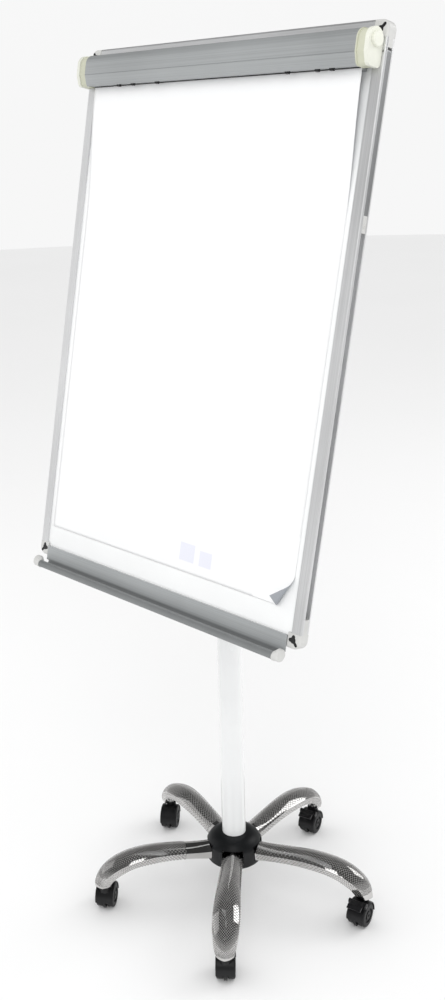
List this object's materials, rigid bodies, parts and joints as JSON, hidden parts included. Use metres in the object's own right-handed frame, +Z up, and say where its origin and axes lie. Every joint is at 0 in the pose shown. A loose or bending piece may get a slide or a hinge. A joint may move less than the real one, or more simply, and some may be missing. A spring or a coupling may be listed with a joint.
{
  "type": "flip chart easel",
  "caption": "Mobile flip chart easel: framed white writing board with clamp bar and pen tray, tilting on a height-adjustable column over a star base with casters.",
  "frame": {"origin": "on the floor, under the middle of the whole easel", "axes": "+Z up, the writing face looks towards -Y and +X runs to its right-hand side"},
  "size_m": [0.7, 0.5669, 1.7247],
  "materials": {
    "chrome": "mirror chrome on pressed steel",
    "hub_plastic": "moulded black, fine texture",
    "caster_plastic": "moulded black",
    "wheel_plastic": "black wheel, hard tread",
    "plated_steel": "zinc plated",
    "white_paint": "gloss white powder coat",
    "mast_steel": "satin plated tube",
    "bracket_paint": "dark grey powder coat",
    "rail_aluminium": "satin silver anodised",
    "grey_aluminium": "satin grey anodised",
    "cap_plastic": "light grey moulded",
    "ivory_plastic": "ivory moulded",
    "insert_plastic": "black inlay",
    "enamel": "gloss white dry-wipe enamel",
    "core_board": "light fibreboard",
    "back_metal": "grey coated sheet",
    "jaw_rubber": "black strip",
    "film": "thin white film",
    "nylon": "natural nylon"
  },
  "bodies": {
    "base": {"hub_core": "plated_steel", "hub_shell": "hub_plastic", "hub_cover": "hub_plastic", "base_arm_1": "chrome", "base_arm_2": "chrome", "base_arm_3": "chrome", "base_arm_4": "chrome", "base_arm_5": "chrome", "caster_sockets": "plated_steel", "caster_stems": "plated_steel", "column_tube": "white_paint", "column_liner": "nylon", "column_collar": "hub_plastic"},
    "height_knob": {"height_knob": "hub_plastic"},
    "mast": {"mast_tube": "mast_steel", "mast_glide": "nylon", "head_yoke": "bracket_paint", "tilt_bolt": "plated_steel"},
    "tilt_knob": {"tilt_knob": "hub_plastic"},
    "board": {"board_bracket": "bracket_paint", "bracket_screws": "plated_steel", "writing_panel": "enamel", "board_core": "core_board", "back_sheet": "back_metal", "cover_sheet": "film", "rail_left": "rail_aluminium", "rail_right": "rail_aluminium", "rail_top": "rail_aluminium", "rail_bottom": "rail_aluminium", "corner_caps": "cap_plastic", "corner_inserts": "insert_plastic", "pen_tray": "grey_aluminium", "tray_end_caps": "cap_plastic", "clamp_rail": "grey_aluminium", "clamp_cheeks": "ivory_plastic", "side_arm_pins": "plated_steel"},
    "clamp": {"clamp_bar": "grey_aluminium", "clamp_end_caps": "ivory_plastic", "jaw_strip": "jaw_rubber", "jaw_clips": "insert_plastic"},
    "clamp_knob_left": {"clamp_knob_left": "ivory_plastic"},
    "clamp_knob_right": {"clamp_knob_right": "ivory_plastic"},
    "pad_hook_left": {"pad_hook_left": "insert_plastic"},
    "pad_hook_right": {"pad_hook_right": "insert_plastic"},
    "side_arm_left": {"side_arm_left": "grey_aluminium", "side_arm_tip_left": "cap_plastic"},
    "side_arm_right": {"side_arm_right": "grey_aluminium", "side_arm_tip_right": "cap_plastic"},
    "caster_1": {"caster_hood_1": "caster_plastic"},
    "wheels_1": {"caster_wheels_1": "wheel_plastic"},
    "brake_1": {"caster_brake_1": "caster_plastic"},
    "caster_2": {"caster_hood_2": "caster_plastic"},
    "wheels_2": {"caster_wheels_2": "wheel_plastic"},
    "caster_3": {"caster_hood_3": "caster_plastic"},
    "wheels_3": {"caster_wheels_3": "wheel_plastic"},
    "caster_4": {"caster_hood_4": "caster_plastic"},
    "wheels_4": {"caster_wheels_4": "wheel_plastic"},
    "caster_5": {"caster_hood_5": "caster_plastic"},
    "wheels_5": {"caster_wheels_5": "wheel_plastic"},
    "brake_5": {"caster_brake_5": "caster_plastic"}
  },
  "joints": [
    {"name": "caster_swivel_1", "type": "hinge", "parent": "base", "child": "caster_1", "pos_m": [-0.01734, 0.26147, 0.055], "axis": [0, 0, 1], "continuous": true},
    {"name": "wheel_roll_1", "type": "hinge", "parent": "caster_1", "child": "wheels_1", "pos_m": [-0.01423, 0.24988, 0.025], "axis": [-0.9659, -0.2588, 0], "continuous": true},
    {"name": "brake_press_1", "type": "hinge", "parent": "caster_1", "child": "brake_1", "pos_m": [-0.01087, 0.23732, 0.057], "axis": [-0.9659, -0.2588, 0], "range_deg": [-12, 0]},
    {"name": "caster_swivel_2", "type": "hinge", "parent": "base", "child": "caster_2", "pos_m": [-0.27495, 0.04911, 0.055], "axis": [0, 0, 1], "continuous": true},
    {"name": "wheel_roll_2", "type": "hinge", "parent": "caster_2", "child": "wheels_2", "pos_m": [-0.26807, 0.03928, 0.025], "axis": [-0.8192, -0.5736, 0], "continuous": true},
    {"name": "caster_swivel_3", "type": "hinge", "parent": "base", "child": "caster_3", "pos_m": [-0.15259, -0.26152, 0.055], "axis": [0, 0, 1], "continuous": true},
    {"name": "wheel_roll_3", "type": "hinge", "parent": "caster_3", "child": "wheels_3", "pos_m": [-0.15948, -0.25169, 0.025], "axis": [0.8192, 0.5736, 0], "continuous": true},
    {"name": "caster_swivel_4", "type": "hinge", "parent": "base", "child": "caster_4", "pos_m": [0.18065, -0.24114, 0.055], "axis": [0, 0, 1], "continuous": true},
    {"name": "wheel_roll_4", "type": "hinge", "parent": "caster_4", "child": "wheels_4", "pos_m": [0.17262, -0.23222, 0.025], "axis": [0.7431, 0.6691, 0], "continuous": true},
    {"name": "caster_swivel_5", "type": "hinge", "parent": "base", "child": "caster_5", "pos_m": [0.26424, 0.08209, 0.055], "axis": [0, 0, 1], "continuous": true},
    {"name": "wheel_roll_5", "type": "hinge", "parent": "caster_5", "child": "wheels_5", "pos_m": [0.26673, 0.07035, 0.025], "axis": [-0.9781, -0.2079, 0], "continuous": true},
    {"name": "brake_press_5", "type": "hinge", "parent": "caster_5", "child": "brake_5", "pos_m": [0.26944, 0.05763, 0.057], "axis": [-0.9781, -0.2079, 0], "range_deg": [-12, 0]},
    {"name": "height_knob_turn", "type": "hinge", "parent": "base", "child": "height_knob", "pos_m": [0, -0.022, 0.999], "axis": [0, 1, 0], "range_deg": [0, 270]},
    {"name": "mast_slide", "type": "slide", "parent": "base", "child": "mast", "axis": [0, 0, 1], "range_m": [-0.2, 0.25]},
    {"name": "tilt_knob_turn", "type": "hinge", "parent": "mast", "child": "tilt_knob", "pos_m": [0, -0.022, 1.3], "axis": [1, 0, 0], "range_deg": [0, 270]},
    {"name": "board_tilt", "type": "hinge", "parent": "mast", "child": "board", "pos_m": [0, -0.022, 1.3], "axis": [-1, 0, 0], "range_deg": [-12.6, 25]},
    {"name": "clamp_lift", "type": "hinge", "parent": "board", "child": "clamp", "pos_m": [0, -0.02661, 1.69535], "axis": [-1, 0, 0], "range_deg": [0, 70]},
    {"name": "clamp_knob_left_turn", "type": "hinge", "parent": "board", "child": "clamp_knob_left", "pos_m": [-0.345, -0.02661, 1.69535], "axis": [-1, 0, 0], "range_deg": [0, 90]},
    {"name": "clamp_knob_right_turn", "type": "hinge", "parent": "board", "child": "clamp_knob_right", "pos_m": [0.345, -0.02661, 1.69535], "axis": [1, 0, 0], "range_deg": [0, 90]},
    {"name": "pad_hook_left_slide", "type": "slide", "parent": "board", "child": "pad_hook_left", "axis": [1, 0, 0], "range_m": [-0.07, 0.09]},
    {"name": "pad_hook_right_slide", "type": "slide", "parent": "board", "child": "pad_hook_right", "axis": [1, 0, 0], "range_m": [-0.09, 0.07]},
    {"name": "side_arm_left_swing", "type": "hinge", "parent": "board", "child": "side_arm_left", "pos_m": [-0.345, -0.00114, 1.67633], "axis": [0, 0.9759, -0.2181], "range_deg": [0, 90]},
    {"name": "side_arm_right_swing", "type": "hinge", "parent": "board", "child": "side_arm_right", "pos_m": [0.345, -0.00114, 1.67633], "axis": [0, -0.9759, 0.2181], "range_deg": [0, 90]}
  ]
}
